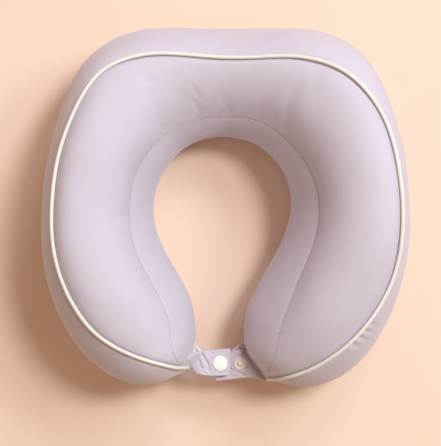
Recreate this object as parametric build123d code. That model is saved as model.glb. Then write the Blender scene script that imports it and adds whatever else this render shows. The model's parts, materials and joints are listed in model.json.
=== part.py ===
from build123d import *
import math
import os

# U-shaped neck pillow, millimetres, +Z up, standing on its flat underside at z = 0.
# +Y is the back of the neck, the two arms reach towards -Y, where a snap strap closes them.
os.makedirs("parts", exist_ok=True)

# ---------------------------------------------------------------- driving dimensions
COVER = 1.2            # knit cover thickness
LINER_OUT, LINER_IN = 1.9, 2.5   # inner bag, depths below the outer surface
CORE_DEPTH = 3.1       # foam core, depth below the outer surface
SEAM_GAP = 0.30        # plain seam between two cover panels
PIPE_GAP = 1.70        # seam that holds a piping tape
PIPE_R = 1.75          # piping, outer radius
PIPE_CORD_R = 1.05     # filler cord inside the piping
PIPE_LIFT = 2.15       # piping centre above the cover surface
N_OUT, N_IN, N_LOW = 2.2, 1.6, 2.2   # superellipse powers of the cross-section
B_OUT, B_IN = 20.0, 16.0             # lower corner sizes
SEAM_H = 7.0           # height of the lower seams above the underside
Y_SHIFT = 0.635        # centres the plan on the origin

ZIP_HALF = 66.0        # half length of the zip opening
ZIP_V = 3.6            # half width of the zip opening
ZIP_Z = 18.0           # height of the zip
ZIP_Y = 143.2
ZIP_SLOPE = 0.3125     # outward lean of the lower back, dy/dz
SLIDER_X = 54.0        # slider position when closed

TAB_T = 2.0            # strap thickness
TAB_Z = 45.0           # underside of the upper (left) strap
TAB2_Z = 38.5          # underside of the lower (right) strap
SNAP_X, SNAP_Y = -4.8, -129.0 + Y_SHIFT
STUD2_X, STUD2_Y = 12.1, -129.4 + Y_SHIFT
SNAP_CAP_R, SNAP_R = 6.2, 5.35

# ---------------------------------------------------------------- stations round the U
# outer x, y; inner x, y; zo, zi, zr, zb; ridge, piping, neck seam as fractions of the width
ST = [
 (-34.3,-135.9,-27.2,-120.2,45,48,52,40,.50,.30,.60),
 (-44.5,-140.9,-25.9,-110.4,38,47,73,17,.50,.378,.52),
 (-63.4,-146.4,-25.7,-99.7,37,46,90,4,.50,.440,.60),
 (-86.6,-142.4,-27.0,-88.1,39,45,101,0,.47,.405,.715),
 (-107.3,-129.2,-30.3,-74.8,41,45,109,0,.43,.325,.785),
 (-124.6,-110.3,-36.6,-61.6,43,44,115,0,.39,.258,.805),
 (-137.6,-85.6,-43.9,-48.4,45,43,120,0,.36,.218,.809),
 (-145.6,-58.2,-52.1,-33.4,47,42,124,0,.335,.190,.806),
 (-149.1,-29.2,-58.1,-17.6,48,41,126,0,.32,.172,.809),
 (-148.7,0.6,-60.4,-0.1,49,40,126,0,.315,.165,.813),
 (-145.8,31.2,-57.4,17.4,49,40,124,0,.32,.163,.811),
 (-140.5,57.7,-51.1,30.4,48,39,121,0,.33,.166,.818),
 (-132.0,86.4,-43.2,42.1,47,39,117,0,.34,.182,.841),
 (-118.4,115.9,-34.1,50.5,46,38,112,0,.355,.210,.862),
 (-98.6,134.7,-23.8,55.9,45,38,107,0,.37,.249,.870),
 (-72.2,145.4,-14.4,58.5,43,37,103,0,.38,.290,.866),
 (-38.1,147.5,-7.7,59.6,42,37,99.5,0,.385,.318,.857),
 (-1.5,145.9,-1.2,60.0,41,36,98,0,.385,.327,.850),
 (35.1,146.5,5.6,59.3,42,37,99.5,0,.385,.328,.849),
 (66.7,146.6,13.6,57.5,43,37,103,0,.38,.319,.855),
 (94.0,139.0,23.2,54.1,45,38,107,0,.37,.293,.861),
 (115.4,121.7,32.4,48.0,46,38,112,0,.355,.246,.860),
 (129.4,96.3,41.1,40.0,47,39,117,0,.34,.192,.848),
 (138.0,72.6,47.8,30.0,48,39,121,0,.33,.158,.831),
 (143.7,47.8,52.1,19.5,49,40,124,0,.32,.143,.812),
 (147.2,21.3,54.4,4.9,49,40,126,0,.315,.135,.797),
 (149.1,-5.2,52.7,-10.1,48,41,126,0,.32,.131,.785),
 (148.4,-30.8,47.4,-26.8,47,42,124,0,.335,.128,.780),
 (144.8,-55.8,38.9,-43.0,45,43,120,0,.36,.135,.777),
 (138.0,-80.8,30.1,-58.3,43,44,115,0,.39,.165,.768),
 (126.4,-106.7,21.7,-74.0,41,45,109,0,.43,.217,.750),
 (110.0,-128.9,16.7,-87.2,39,46,101,0,.47,.275,.723),
 (87.2,-143.6,15.2,-101.2,37,47,90,2,.50,.318,.672),
 (62.6,-148.1,16.7,-116.3,36,46,75,12,.50,.336,.600),
 (44.5,-145.2,26.0,-130.8,38,43,54,27,.50,.300,.560),
 (36.9,-144.0,30.6,-137.0,40,42,46,35,.50,.290,.560),
]
NS = len(ST)


def nat_spline(ys):
    """Second derivatives of the natural cubic spline through ys at 0, 1, 2, ..."""
    n = len(ys)
    m = [0.0] * n
    c, d = [0.0] * n, [0.0] * n
    for i in range(1, n - 1):
        r = 6.0 * (ys[i + 1] - 2 * ys[i] + ys[i - 1])
        w = 4.0 - c[i - 1]
        c[i] = 1.0 / w
        d[i] = (r - d[i - 1]) / w
    for i in range(n - 2, 0, -1):
        m[i] = d[i] - c[i] * m[i + 1]
    return m


COLS = [[s[j] for s in ST] for j in range(11)]
M2 = [nat_spline(c) for c in COLS]


def station(u):
    u = min(max(u, 0.0), NS - 1.0)
    i = min(int(u), NS - 2)
    b = u - i
    a = 1.0 - b
    out = []
    for c, m in zip(COLS, M2):
        out.append(a * c[i] + b * c[i + 1] + ((a ** 3 - a) * m[i] + (b ** 3 - b) * m[i + 1]) / 6.0)
    out[1] += Y_SHIFT
    out[3] += Y_SHIFT
    return out


def smooth01(x):
    x = min(max(x, 0.0), 1.0)
    return x * x * (3 - 2 * x)


def zip_weight(x, z):
    """How much of the lower back is drawn flat for the zip."""
    v = (z - ZIP_Z) / math.cos(math.atan(ZIP_SLOPE))
    return smooth01((94 - abs(x)) / 20.0) * smooth01((21 - abs(v)) / 9.0)


class Section:
    """Closed cross-section at station u, as a dense loop with arc length and normals."""

    def __init__(self, u, q=40):
        ox, oy, ix, iy, zo, zi, zr, zb, tr, tp, ts = station(u)
        w = math.hypot(ix - ox, iy - oy)
        self.o, self.e, self.w = (ox, oy), ((ix - ox) / w, (iy - oy) / w), w
        bo, bi = min(B_OUT, .45 * w), min(B_IN, .45 * w)
        xr = tr * w
        p = []

        def arc(f):
            for j in range(q):
                p.append(f(math.pi / 2 * j / q))
        sc = lambda v, n: max(v, 0.0) ** (2.0 / n)
        arc(lambda a: (xr * (1 - sc(math.cos(a), N_OUT)), zo + (zr - zo) * sc(math.sin(a), N_OUT)))
        arc(lambda a: (xr + (w - xr) * sc(math.sin(a), N_IN), zi + (zr - zi) * sc(math.cos(a), N_IN)))
        arc(lambda a: (w - bi * (1 - sc(math.cos(a), N_LOW)), zi - (zi - zb) * sc(math.sin(a), N_LOW)))
        for j in range(q):
            t = j / q
            p.append((w - bi + (bo - w + bi) * t, zb))
        arc(lambda a: (bo * (1 - sc(math.sin(a), N_LOW)), zo - (zo - zb) * sc(math.cos(a), N_LOW)))
        # even spacing, then a few passes of smoothing away from the flat underside
        p = self.even(p, 200)
        for _ in range(5):
            k = len(p)
            p = [((p[j - 1][0] + 2 * p[j][0] + p[(j + 1) % k][0]) / 4,
                  (p[j - 1][1] + 2 * p[j][1] + p[(j + 1) % k][1]) / 4) for j in range(k)]
        self.p = p
        k = len(p)
        self.s = [0.0]
        for j in range(k):
            a, b = p[j], p[(j + 1) % k]
            self.s.append(self.s[-1] + math.hypot(b[0] - a[0], b[1] - a[1]))
        self.len = self.s[-1]
        # seam positions
        jr = max(range(k), key=lambda j: p[j][1])
        ji = max(range(k), key=lambda j: p[j][0])
        self.s_in = self.s[ji]
        self.s_pipe = self.find(0, jr + 40, lambda q_: q_[0] - tp * w)
        self.s_neck = self.find(jr - 10, ji, lambda q_: q_[0] - ts * w)
        hb = min(SEAM_H, .30 * (zi - zb))
        ho = min(SEAM_H, .30 * (zo - zb))
        self.s_bi = self.find(ji, k - 1, lambda q_: -(q_[1] - (zb + hb)))
        self.s_bo = self.find(k - 1, ji, lambda q_: -(q_[1] - (zb + ho)), -1)

    @staticmethod
    def even(p, n):
        k = len(p)
        s = [0.0]
        for j in range(k):
            a, b = p[j], p[(j + 1) % k]
            s.append(s[-1] + math.hypot(b[0] - a[0], b[1] - a[1]))
        out, j = [], 0
        for i in range(n):
            t = s[-1] * i / n
            while s[j + 1] < t:
                j += 1
            f = (t - s[j]) / max(s[j + 1] - s[j], 1e-9)
            a, b = p[j % k], p[(j + 1) % k]
            out.append((a[0] + (b[0] - a[0]) * f, a[1] + (b[1] - a[1]) * f))
        return out

    def find(self, j0, j1, f, step=1):
        j = j0
        while j != j1 and f(self.p[j % 200]) < 0:
            j += step
        a, b = self.p[(j - step) % 200], self.p[j % 200]
        fa, fb = f(a), f(b)
        t = 0.0 if fb == fa else -fa / (fb - fa)
        t = min(max(t, 0.0), 1.0)
        return (self.s[j - step] + (self.s[j] - self.s[j - step]) * t) if step > 0 else \
            (self.s[j + 1] + (self.s[j] - self.s[j + 1]) * t)

    def at(self, s):
        """Section point and outward normal at arc length s."""
        s = s % self.len
        lo, hi = 0, 200
        while hi - lo > 1:
            mid = (lo + hi) // 2
            if self.s[mid] <= s:
                lo = mid
            else:
                hi = mid
        f = (s - self.s[lo]) / max(self.s[lo + 1] - self.s[lo], 1e-9)
        p = self.p
        a, b = p[lo], p[(lo + 1) % 200]
        t0 = (p[(lo + 1) % 200][0] - p[lo - 1][0], p[(lo + 1) % 200][1] - p[lo - 1][1])
        t1 = (p[(lo + 2) % 200][0] - p[lo][0], p[(lo + 2) % 200][1] - p[lo][1])
        tx, tz = t0[0] + (t1[0] - t0[0]) * f, t0[1] + (t1[1] - t0[1]) * f
        m = math.hypot(tx, tz)
        return (a[0] + (b[0] - a[0]) * f, a[1] + (b[1] - a[1]) * f), (-tz / m, tx / m), (tx / m, tz / m)

    def point(self, s, depth=0.0, proud=0.0):
        """3-D point at arc length s, moved inwards by depth."""
        (x, z), (nx, nz), _ = self.at(s)
        X, Y = self.o[0] + self.e[0] * x, self.o[1] + self.e[1] * x
        dy = 0.0
        if Y > 100 and z < 45 and x < .4 * self.w:
            wt = zip_weight(X, z)
            dy = wt * (ZIP_Y + ZIP_SLOPE * (z - ZIP_Z) - Y)
            if depth > 1.85:
                dy -= 2.4 * wt
        x -= nx * depth
        z -= nz * depth
        z -= proud * max(0.0, -nz) ** 3
        return (self.o[0] + self.e[0] * x, self.o[1] + self.e[1] * x + dy, z)


def stations(u0, u1):
    us = [u0] + [float(k) for k in range(int(u0) + 1, int(math.ceil(u1)))] + [u1]
    us = [u for j, u in enumerate(us) if j == 0 or u - us[j - 1] > .2 or u == u1]
    # more sections where the arms close down quickly and at the ends of the zip
    extra = [.5, 1.5, 14.6, 19.25, 19.5, 32.5, 33.5, 34.5]
    return sorted(set(round(u, 3) for u in us + extra if u0 <= u <= u1))


SEC = {}


def sec(u):
    u = round(u, 4)
    if u not in SEC:
        SEC[u] = Section(u)
    return SEC[u]


def rail(u, name):
    s = sec(u)
    return s.point(getattr(s, name))


def seam_shift(u, name, gap):
    """Arc length, along the section, that leaves half the gap square to the seam."""
    d = .02
    a, b = rail(max(u - d, 0), name), rail(min(u + d, NS - 1), name)
    t = Vector(*b) - Vector(*a)
    t = t.normalized()
    s = sec(u)
    _, _, (tx, tz) = s.at(getattr(s, name))
    es = Vector(s.e[0] * tx, s.e[1] * tx, tz)
    return (gap / 2) / max(es.cross(t).length, .35)


def tri_solid(tris):
    """Closed solid from flat triangles."""
    faces = []
    for t in tris:
        a, b, c = (Vector(*q) for q in t)
        if (b - a).cross(c - a).length > 1e-6:
            faces.append(Face(Wire.make_polygon([a, b, c], close=True)))
    return Solid(Shell(faces))


def quads(A, B, C, D, out):
    out.append((A, B, C))
    out.append((A, C, D))


def slab(O, I):
    """Closed sheet between an outer and an inner grid of points."""
    t, m, n = [], len(O), len(O[0])
    for i in range(m - 1):
        for j in range(n - 1):
            quads(O[i][j], O[i + 1][j], O[i + 1][j + 1], O[i][j + 1], t)
            quads(I[i][j], I[i][j + 1], I[i + 1][j + 1], I[i + 1][j], t)
        quads(O[i][0], I[i][0], I[i + 1][0], O[i + 1][0], t)
        quads(O[i][-1], O[i + 1][-1], I[i + 1][-1], I[i][-1], t)
    for j in range(n - 1):
        quads(O[0][j], O[0][j + 1], I[0][j + 1], I[0][j], t)
        quads(O[-1][j], I[-1][j], I[-1][j + 1], O[-1][j + 1], t)
    return tri_solid(t)


def tube(R):
    """Closed solid through a list of rings of points."""
    t, n = [], len(R[0])
    for i in range(len(R) - 1):
        for j in range(n):
            k = (j + 1) % n
            quads(R[i][j], R[i][k], R[i + 1][k], R[i + 1][j], t)
    for j in range(1, n - 1):
        t.append((R[0][0], R[0][j + 1], R[0][j]))
        t.append((R[-1][0], R[-1][j], R[-1][j + 1]))
    return tri_solid(t)


def spread(a, ga, b, gb, u, n):
    """Arc lengths at n points between two seams of the section at u."""
    s = sec(u)
    sa = getattr(s, a) + seam_shift(u, a, ga)
    sb = getattr(s, b) - seam_shift(u, b, gb)
    if sb < sa:
        sb += s.len
    return [sa + (sb - sa) * j / (n - 1) for j in range(n)]


def panel(a, ga, b, gb, d0, d1, u0=0.0, u1=NS - 1.0, n=8, proud=0.0):
    """Cover panel from seam a to seam b, between depths d0 and d1."""
    O, I = [], []
    for u in stations(u0, u1):
        s, ts = sec(u), spread(a, ga, b, gb, u, n)
        O.append([s.point(t, d0, proud) for t in ts])
        I.append([s.point(t, d1) for t in ts])
    return slab(O, I)


def rail_frames(name, u0=0.0, u1=NS - 1.0, per=1.0):
    """Points, tangents and outward normals along a seam."""
    us, out = stations(u0, u1), []
    for u in us:
        d = .02
        a, b = Vector(*rail(max(u - d, 0), name)), Vector(*rail(min(u + d, NS - 1), name))
        t = (b - a).normalized()
        s = sec(u)
        sp = getattr(s, name)
        p = Vector(*s.point(sp))
        _, (nx, nz), _ = s.at(sp)
        n = Vector(s.e[0] * nx, s.e[1] * nx, nz)
        n = (n - t * n.dot(t)).normalized()
        out.append((p, t, n, t.cross(n)))
    return out


def piping(name, u0=0.0, u1=NS - 1.0):
    """Tape folded round a filler cord, its two layers running down into the seam."""
    O, I, cords = [], [], []
    a0 = math.asin(.22 / PIPE_R)
    ri, ro, k = PIPE_CORD_R + .10, PIPE_R, 7
    ai = math.asin(.06 / ri)
    for p, t, n, b in rail_frames(name, u0, u1):
        c = p + n * PIPE_LIFT

        def pt(x, y):
            return tuple(c + b * x + n * y)
        yb = -(PIPE_LIFT + .95)
        o = [pt(-.22, yb)]
        i = [pt(-.06, yb)]
        for j in range(k + 1):
            ao = a0 + (2 * math.pi - 2 * a0) * j / k
            an = ai + (2 * math.pi - 2 * ai) * j / k
            o.append(pt(-ro * math.sin(ao), -ro * math.cos(ao)))
            i.append(pt(-ri * math.sin(an), -ri * math.cos(an)))
        o.append(pt(.22, yb))
        i.append(pt(.06, yb))
        O.append(o)
        I.append(i)
        r = PIPE_CORD_R * .92
        cords.append([pt(-r * math.sin(2 * math.pi * (j + .5) / 7), -r * math.cos(2 * math.pi * (j + .5) / 7))
                      for j in range(7)])
    return slab(O, I), tube(cords)


def thread(name, r, lift):
    rings = []
    for p, t, n, b in rail_frames(name):
        c = p + n * lift
        rings.append([tuple(c + b * (r * math.cos(2 * math.pi * j / 4)) + n * (r * math.sin(2 * math.pi * j / 4)))
                      for j in range(4)])
    return tube(rings)


HALF_N = 11     # points on each half of the liner, shared by the foam


def half_arcs(s, lower):
    sa, sb = (s.s_in + .1, s.len - .1) if lower else (.1, s.s_in - .1)
    return [sa + (sb - sa) * j / (HALF_N - 1) for j in range(HALF_N)]


def core():
    rings = []
    for u in stations(.9, 34.0):
        s = sec(u)
        rings.append([s.point(t, CORE_DEPTH) for t in half_arcs(s, False) + half_arcs(s, True)])
    return tube(rings)


NODES = {}


def keep(name, shape):
    NODES[name] = shape
    export_step(shape, "parts/%s.step" % name)


# ---------------------------------------------------------------- cover, liner and foam
keep("foam_core", core())
keep("top_panel", panel("s_pipe", PIPE_GAP, "s_neck", SEAM_GAP, 0, COVER))
keep("neck_panel", panel("s_neck", SEAM_GAP, "s_bi", PIPE_GAP, 0, COVER))
bottom = panel("s_bi", PIPE_GAP, "s_bo", PIPE_GAP, 0, COVER, n=11, proud=.5)
bottom = bottom - Pos(0, 0, -5) * Box(400, 400, 10)
keep("bottom_panel", bottom)


def liner(lower):
    """Half of the inner bag: upper half over the foam, lower half under it."""
    O, I = [], []
    for u in stations(.9, 34.0):
        s = sec(u)
        ts = half_arcs(s, lower)
        O.append([s.point(t, LINER_OUT) for t in ts])
        I.append([s.point(t, LINER_IN) for t in ts])
    return slab(O, I)


keep("core_liner", Compound(children=[liner(False), liner(True)]))

# ---------------------------------------------------------------- zip in the lower back
lean = math.atan(ZIP_SLOPE)
ZN = Vector(0, math.cos(lean), -math.sin(lean))      # outward
ZV = Vector(0, math.sin(lean), math.cos(lean))       # up along the panel
ZP = Plane(origin=(0, ZIP_Y, ZIP_Z), x_dir=(1, 0, 0), z_dir=ZN).location   # local y runs down the panel


def zbox(x0, x1, v0, v1, n0, n1):
    return ZP * Pos((x0 + x1) / 2, -(v0 + v1) / 2, (n0 + n1) / 2) * Box(x1 - x0, v1 - v0, n1 - n0)


side = panel("s_bo", PIPE_GAP, "s_pipe", PIPE_GAP, 0, COVER, n=12) - zbox(-ZIP_HALF, ZIP_HALF, -ZIP_V, ZIP_V, -6, 6)
keep("side_panel", side)
keep("zip_tape_upper", zbox(-ZIP_HALF - 1.8, ZIP_HALF + 1.8, 1.0, 8.6, -1.8, -1.3))
keep("zip_tape_lower", zbox(-ZIP_HALF - 1.8, ZIP_HALF + 1.8, -8.6, -1.0, -1.8, -1.3))


def teeth(sign):
    pitch, x0, n = 2.0, -59.0, 59
    pts = [(x0, 2.2), (x0, 1.4)]
    for j in range(n):
        a = x0 + .5 + j * pitch + (1.0 if sign < 0 else 0.0)
        pts += [(a, 1.4), (a, .35), (a + 1.0, .35), (a + 1.0, 1.4)]
    pts += [(60.2, 1.4), (60.2, 2.2)]
    f = make_face(Polyline([(x, -sign * v) for x, v in pts], close=True))
    return ZP * Pos(0, 0, -1.3) * extrude(f, 1.8, dir=(0, 0, 1))


keep("zip_teeth_upper", teeth(1))
keep("zip_teeth_lower", teeth(-1))
keep("zip_stops", Compound(children=[zbox(60.6, 62.6, -2.2, 2.2, -1.3, .6), zbox(-62.6, -60.6, -2.2, 2.2, -1.3, .6)]))

sx = SLIDER_X
AX_N = 2.65
slider = zbox(sx - 4.5, sx + 4.5, -3.3, 3.3, .8, 1.6) + zbox(sx - 4.5, sx + 4.5, -3.3, 3.3, -3.0, -2.1)
slider += zbox(sx - 4.5, sx + 4.5, 2.5, 3.3, -.95, .85) + zbox(sx - 4.5, sx + 4.5, -3.3, -2.5, -.95, .85)
slider += zbox(sx + 2.0, sx + 4.3, -.2, .2, -2.2, .9)
slider += zbox(sx - 1.6, sx + 1.6, -1.0, 1.0, 1.55, 3.6)
bore = ZP * Pos(sx, 0, AX_N) * Rot(90, 0, 0) * Cylinder(.65, 6)
slider -= bore
keep("zip_slider", slider)

pull = zbox(sx - 22, sx - 2.3, -3.0, 3.0, AX_N - .6, AX_N + .6)
pull -= ZP * Pos(sx - 17.5, 0, AX_N) * Cylinder(1.3, 6)
for sgn in (1, -1):
    v0, v1 = (1.25, 2.45) if sgn > 0 else (-2.45, -1.25)
    pull += zbox(sx - 3.2, sx, v0, v1, AX_N - .6, AX_N + .6)
    pull += ZP * Pos(sx, -(v0 + v1) / 2, AX_N) * Rot(90, 0, 0) * Cylinder(.9, 1.2)
pull += ZP * Pos(sx, 0, AX_N) * Rot(90, 0, 0) * Cylinder(.58, 4.9)
keep("zip_pull", pull)

# ---------------------------------------------------------------- piping and neck seam
t1, c1 = piping("s_pipe", .5, NS - 1.25)
keep("upper_piping_tape", t1)
keep("upper_piping_cord", c1)
t2, c2 = piping("s_bo", .5, NS - 1.5)
t3, c3 = piping("s_bi", 2.25, NS - 2.25)
keep("lower_piping_tape", Compound(children=[t2, t3]))
keep("lower_piping_cord", Compound(children=[c2, c3]))
keep("neck_seam_thread", thread("s_neck", .3, .45))


# ---------------------------------------------------------------- snap strap
def tab(pts, ax0, ax1, z0):
    """Flat strap whose root edge is rounded about its own bending line."""
    f = make_face(Polyline(pts, close=True))
    body = Pos(0, 0, z0) * extrude(f, TAB_T, dir=(0, 0, 1))
    sharp = [e for e in body.edges().filter_by(Axis.Z)
             if min((e.center() - Vector(ax0[0], ax0[1], z0 + 1)).length,
                    (e.center() - Vector(ax1[0], ax1[1], z0 + 1)).length) > 3]
    body = fillet(sharp, 2.5)
    a, b = Vector(ax0[0], ax0[1], z0 + TAB_T / 2), Vector(ax1[0], ax1[1], z0 + TAB_T / 2)
    d = b - a
    roll = Plane(origin=(a + b) * .5, z_dir=d).location * Cylinder(TAB_T / 2, d.length)
    return body + roll


r0, r1 = Vector(-34.3, -135.9 + Y_SHIFT), Vector(-27.2, -120.2 + Y_SHIFT)
rd = (r1 - r0).normalized()
rn = Vector(rd.Y, -rd.X)                        # away from the left arm
LA0, LA1 = r0 + rn * 1.45, r1 + rn * 1.45
left = tab([(LA0.X, LA0.Y), (-17.2, -139.2 + Y_SHIFT), (4.3, -139.2 + Y_SHIFT), (4.3, -116.6 + Y_SHIFT),
            (-20.4, -118.3 + Y_SHIFT), (LA1.X, LA1.Y)], (LA0.X, LA0.Y), (LA1.X, LA1.Y), TAB_Z)
left -= Pos(SNAP_X, SNAP_Y, TAB_Z + 1) * Cylinder(1.1, 6)
keep("left_strap_tab", left)

q0, q1 = Vector(16.7, -116.3 + Y_SHIFT), Vector(36.9, -144.0 + Y_SHIFT)
qd = (q1 - q0).normalized()
qn = Vector(qd.Y, -qd.X)                        # away from the right arm
if qn.X > 0:
    qn = qn * -1
RA0 = q0 + qn * 2.8 + qd * 2.6
RA1 = q0 + qn * 2.8 + qd * 30.2
right = tab([(RA0.X, RA0.Y), (RA1.X, RA1.Y), (16.0, -141.1 + Y_SHIFT), (-9.0, -144.4 + Y_SHIFT),
             (-9.0, -121.5 + Y_SHIFT)], (RA0.X, RA0.Y), (RA1.X, RA1.Y), TAB2_Z)
for x, y in ((SNAP_X, SNAP_Y), (STUD2_X, STUD2_Y)):
    right -= Pos(x, y, TAB2_Z + 1) * Cylinder(1.1, 6)
keep("right_strap_tab", right)


def turned(pts, x, y):
    """Solid of revolution about a vertical line at x, y from (r, z) points."""
    f = make_face(Plane.XZ * Polyline(pts, close=True))
    return Pos(x, y, 0) * revolve(f, Axis.Z)


def dome(r, edge, rise, n=7):
    return [(r * math.cos(math.pi / 2 * j / n), edge + rise * math.sin(math.pi / 2 * j / n)) for j in range(n + 1)]


zt = TAB_Z + TAB_T
keep("snap_cap", turned([(0, 44.2), (1.0, 44.2), (1.0, zt), (SNAP_CAP_R, zt)] + dome(SNAP_CAP_R, zt + .5, 1.5),
                        SNAP_X, SNAP_Y))
keep("snap_socket", turned([(1.05, TAB_Z), (SNAP_R, TAB_Z), (SNAP_R, 42.2), (SNAP_R - .5, 41.7), (2.5, 41.7),
                            (2.5, 44.0), (1.05, 44.0)], SNAP_X, SNAP_Y))
z2 = TAB2_Z + TAB_T
stud = [(1.05, z2), (SNAP_R, z2), (SNAP_R, z2 + .9), (1.9, z2 + .9), (1.9, z2 + 2.7), (1.5, z2 + 3.1), (1.05, z2 + 3.1)]
cap = [(0, z2 + 2.5), (1.0, z2 + 2.5), (1.0, TAB2_Z), (SNAP_CAP_R, TAB2_Z)] + \
      [(r, 2 * (TAB2_Z - .4) - z) for r, z in dome(SNAP_CAP_R, TAB2_Z - .4, 1.1)]
for nm, x, y in (("far", SNAP_X, SNAP_Y), ("near", STUD2_X, STUD2_Y)):
    keep("stud_" + nm, turned(stud, x, y))
    keep("stud_cap_" + nm, turned(cap, x, y))

bb = Compound(children=[s for s in NODES.values()]).bounding_box()
print("bbox", bb.min, bb.max)
print("left axis", LA0, LA1, "right axis", RA0, RA1, "zip", ZN, ZV)
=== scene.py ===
import json
import math
import random

import bpy
import bmesh
import numpy as np
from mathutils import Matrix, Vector, noise


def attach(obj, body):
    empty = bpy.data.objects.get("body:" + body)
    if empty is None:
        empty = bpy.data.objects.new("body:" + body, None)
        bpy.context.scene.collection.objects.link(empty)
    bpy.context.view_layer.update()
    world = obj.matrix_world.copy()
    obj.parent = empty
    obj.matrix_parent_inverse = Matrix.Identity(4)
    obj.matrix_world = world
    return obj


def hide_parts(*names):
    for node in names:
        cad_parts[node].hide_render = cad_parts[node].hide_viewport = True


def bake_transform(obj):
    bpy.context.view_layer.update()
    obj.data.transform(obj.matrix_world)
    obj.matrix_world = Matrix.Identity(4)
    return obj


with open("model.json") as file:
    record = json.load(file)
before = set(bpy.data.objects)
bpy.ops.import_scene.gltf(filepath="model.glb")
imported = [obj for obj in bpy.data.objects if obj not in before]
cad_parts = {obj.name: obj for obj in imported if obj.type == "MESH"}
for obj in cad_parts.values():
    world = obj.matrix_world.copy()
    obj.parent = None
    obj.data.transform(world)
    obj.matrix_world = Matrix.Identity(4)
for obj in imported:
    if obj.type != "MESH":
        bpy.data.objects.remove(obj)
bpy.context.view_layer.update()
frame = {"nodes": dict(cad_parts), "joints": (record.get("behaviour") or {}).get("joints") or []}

MM = 0.001
scene = bpy.context.scene
scene.view_settings.view_transform = "Standard"
scene.view_settings.look = "None"

# ------------------------------------------------------------------ the pillow's section table, in mm
# outer x, y; inner x, y; zo, zi, zr, zb; ridge, piping and neck seam as fractions of the width
ST = [
 (-34.3,-135.9,-27.2,-120.2,45,48,52,40,.50,.30,.60),
 (-44.5,-140.9,-25.9,-110.4,38,47,73,17,.50,.378,.52),
 (-63.4,-146.4,-25.7,-99.7,37,46,90,4,.50,.440,.60),
 (-86.6,-142.4,-27.0,-88.1,39,45,101,0,.47,.405,.715),
 (-107.3,-129.2,-30.3,-74.8,41,45,109,0,.43,.325,.785),
 (-124.6,-110.3,-36.6,-61.6,43,44,115,0,.39,.258,.805),
 (-137.6,-85.6,-43.9,-48.4,45,43,120,0,.36,.218,.809),
 (-145.6,-58.2,-52.1,-33.4,47,42,124,0,.335,.190,.806),
 (-149.1,-29.2,-58.1,-17.6,48,41,126,0,.32,.172,.809),
 (-148.7,0.6,-60.4,-0.1,49,40,126,0,.315,.165,.813),
 (-145.8,31.2,-57.4,17.4,49,40,124,0,.32,.163,.811),
 (-140.5,57.7,-51.1,30.4,48,39,121,0,.33,.166,.818),
 (-132.0,86.4,-43.2,42.1,47,39,117,0,.34,.182,.841),
 (-118.4,115.9,-34.1,50.5,46,38,112,0,.355,.210,.862),
 (-98.6,134.7,-23.8,55.9,45,38,107,0,.37,.249,.870),
 (-72.2,145.4,-14.4,58.5,43,37,103,0,.38,.290,.866),
 (-38.1,147.5,-7.7,59.6,42,37,99.5,0,.385,.318,.857),
 (-1.5,145.9,-1.2,60.0,41,36,98,0,.385,.327,.850),
 (35.1,146.5,5.6,59.3,42,37,99.5,0,.385,.328,.849),
 (66.7,146.6,13.6,57.5,43,37,103,0,.38,.319,.855),
 (94.0,139.0,23.2,54.1,45,38,107,0,.37,.293,.861),
 (115.4,121.7,32.4,48.0,46,38,112,0,.355,.246,.860),
 (129.4,96.3,41.1,40.0,47,39,117,0,.34,.192,.848),
 (138.0,72.6,47.8,30.0,48,39,121,0,.33,.158,.831),
 (143.7,47.8,52.1,19.5,49,40,124,0,.32,.143,.812),
 (147.2,21.3,54.4,4.9,49,40,126,0,.315,.135,.797),
 (149.1,-5.2,52.7,-10.1,48,41,126,0,.32,.131,.785),
 (148.4,-30.8,47.4,-26.8,47,42,124,0,.335,.128,.780),
 (144.8,-55.8,38.9,-43.0,45,43,120,0,.36,.135,.777),
 (138.0,-80.8,30.1,-58.3,43,44,115,0,.39,.165,.768),
 (126.4,-106.7,21.7,-74.0,41,45,109,0,.43,.217,.750),
 (110.0,-128.9,16.7,-87.2,39,46,101,0,.47,.275,.723),
 (87.2,-143.6,15.2,-101.2,37,47,90,2,.50,.318,.672),
 (62.6,-148.1,16.7,-116.3,36,46,75,12,.50,.336,.600),
 (44.5,-145.2,26.0,-130.8,38,43,54,27,.50,.300,.560),
 (36.9,-144.0,30.6,-137.0,40,42,46,35,.50,.290,.560),
]

NS = len(ST)
Y_SHIFT = 0.635
N_OUT, N_IN, N_LOW = 2.2, 1.6, 2.2
B_OUT, B_IN, SEAM_H = 20.0, 16.0, 7.0
ZIP_HALF, ZIP_V, ZIP_Z, ZIP_Y, ZIP_SLOPE = 66.0, 3.6, 18.0, 143.2, 0.3125
LEAN = math.atan(ZIP_SLOPE)


def nat_spline(ys):
    n = len(ys)
    m, c, d = [0.0] * n, [0.0] * n, [0.0] * n
    for i in range(1, n - 1):
        r = 6.0 * (ys[i + 1] - 2 * ys[i] + ys[i - 1])
        w = 4.0 - c[i - 1]
        c[i], d[i] = 1.0 / w, (r - d[i - 1]) / w
    for i in range(n - 2, 0, -1):
        m[i] = d[i] - c[i] * m[i + 1]
    return m


COLS = [[s[j] for s in ST] for j in range(11)]
M2 = [nat_spline(c) for c in COLS]


def station(u):
    u = min(max(u, 0.0), NS - 1.0)
    i = min(int(u), NS - 2)
    b = u - i
    a = 1.0 - b
    out = [a * c[i] + b * c[i + 1] + ((a ** 3 - a) * m[i] + (b ** 3 - b) * m[i + 1]) / 6.0 for c, m in zip(COLS, M2)]
    out[1] += Y_SHIFT
    out[3] += Y_SHIFT
    return out


def sm(x):
    x = np.clip(x, 0.0, 1.0)
    return x * x * (3 - 2 * x)


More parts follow.
